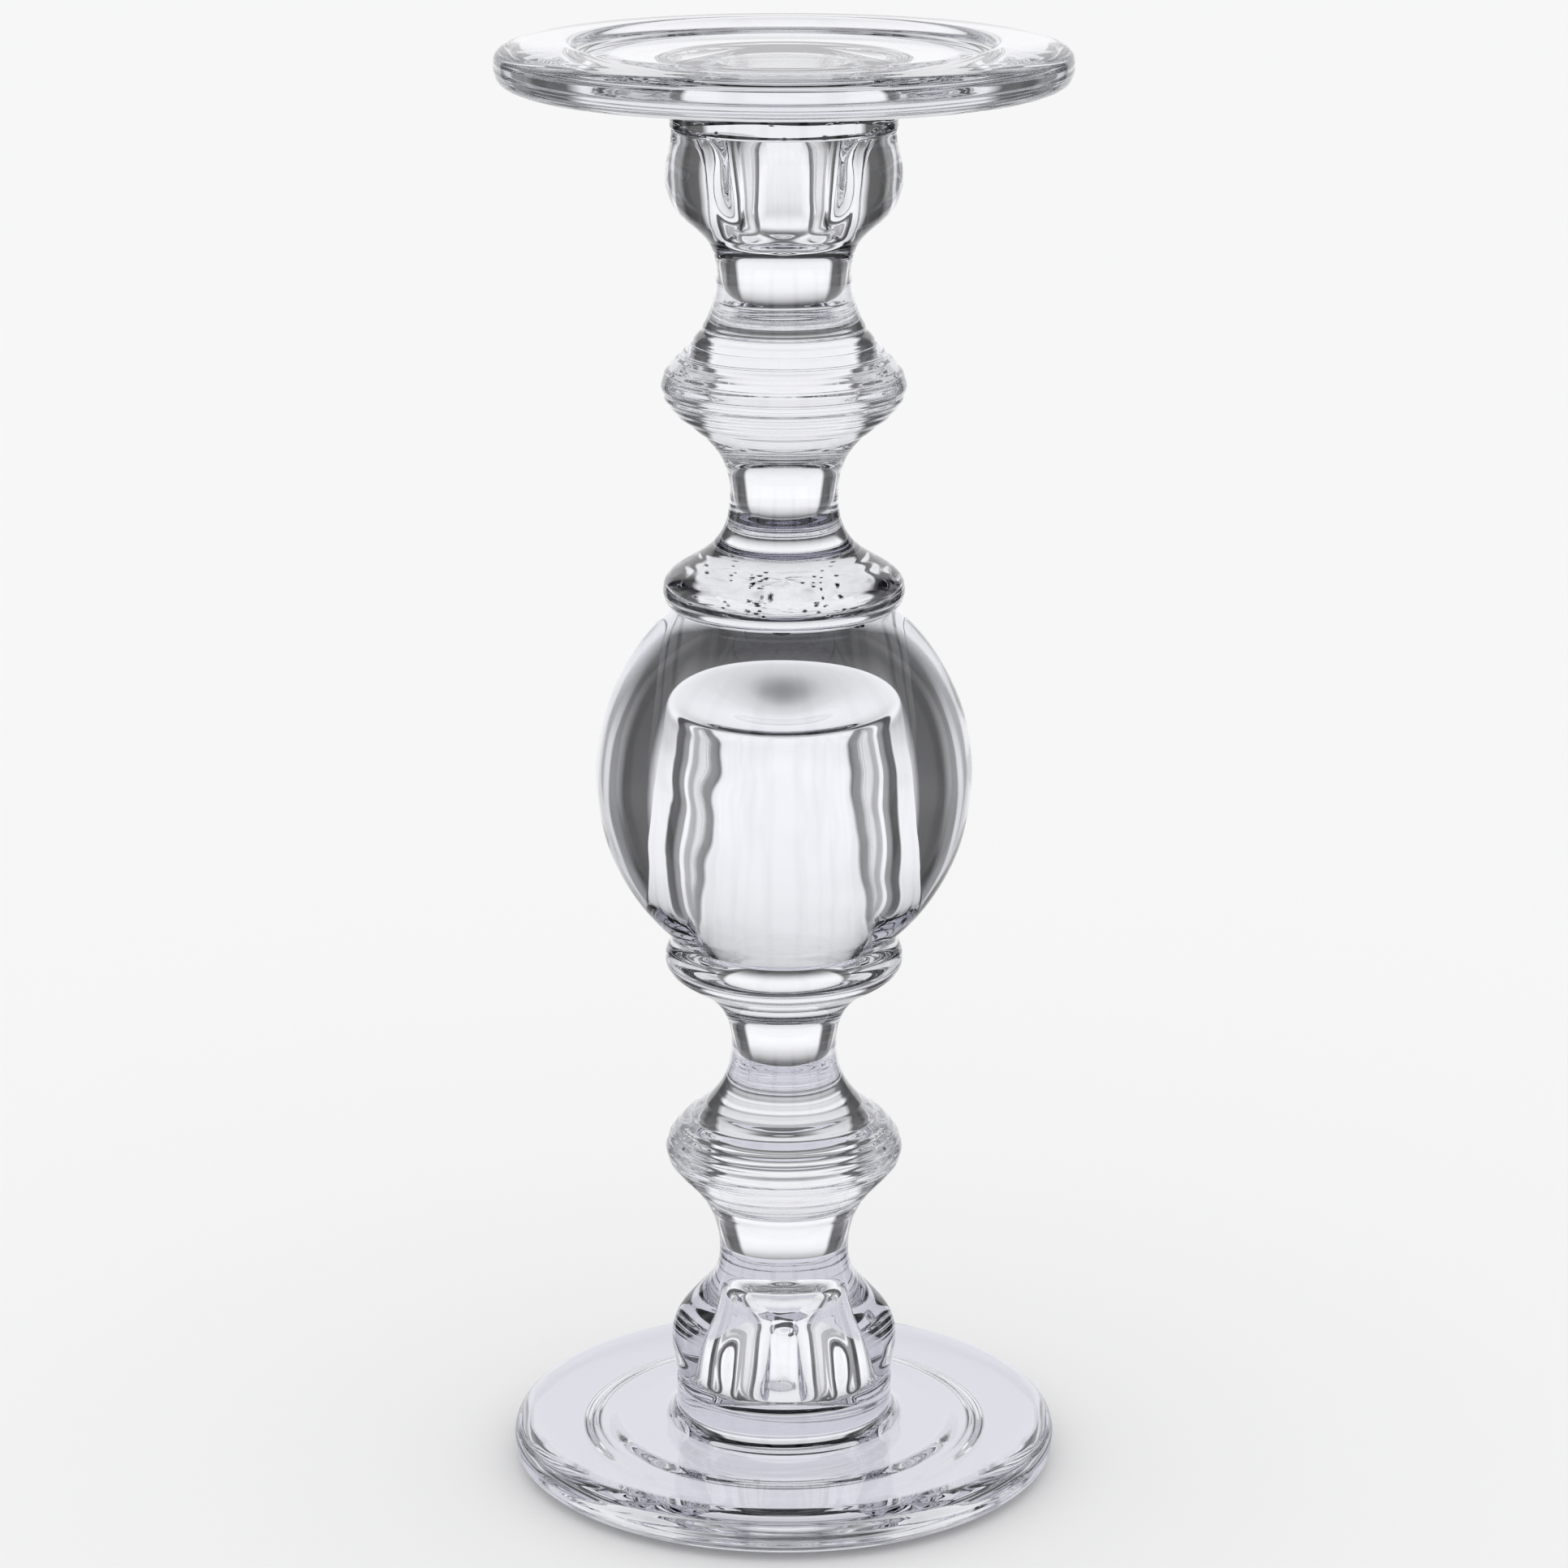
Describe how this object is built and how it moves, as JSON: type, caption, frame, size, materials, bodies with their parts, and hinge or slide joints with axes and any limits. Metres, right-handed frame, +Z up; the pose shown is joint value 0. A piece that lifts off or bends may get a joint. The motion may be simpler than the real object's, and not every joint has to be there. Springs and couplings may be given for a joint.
{
  "type": "glass candlestick",
  "caption": "Tall clear glass candlestick with a wide recessed plate for a pillar candle, a turned stem with a ball in the middle, and a round foot.",
  "frame": {"origin": "centre of the face that the candlestick stands on", "axes": "+Z up along the stem's axis; -Y is the front, where one flute of each cup faces"},
  "size_m": [0.114, 0.114, 0.297],
  "materials": {
    "clear_glass": "fire-polished clear soda-lime glass with a faint cool grey tint"
  },
  "bodies": {
    "root": {"foot": "clear_glass", "lower_stem": "clear_glass", "ball": "clear_glass", "upper_stem": "clear_glass", "pillar_plate": "clear_glass"}
  },
  "joints": []
}
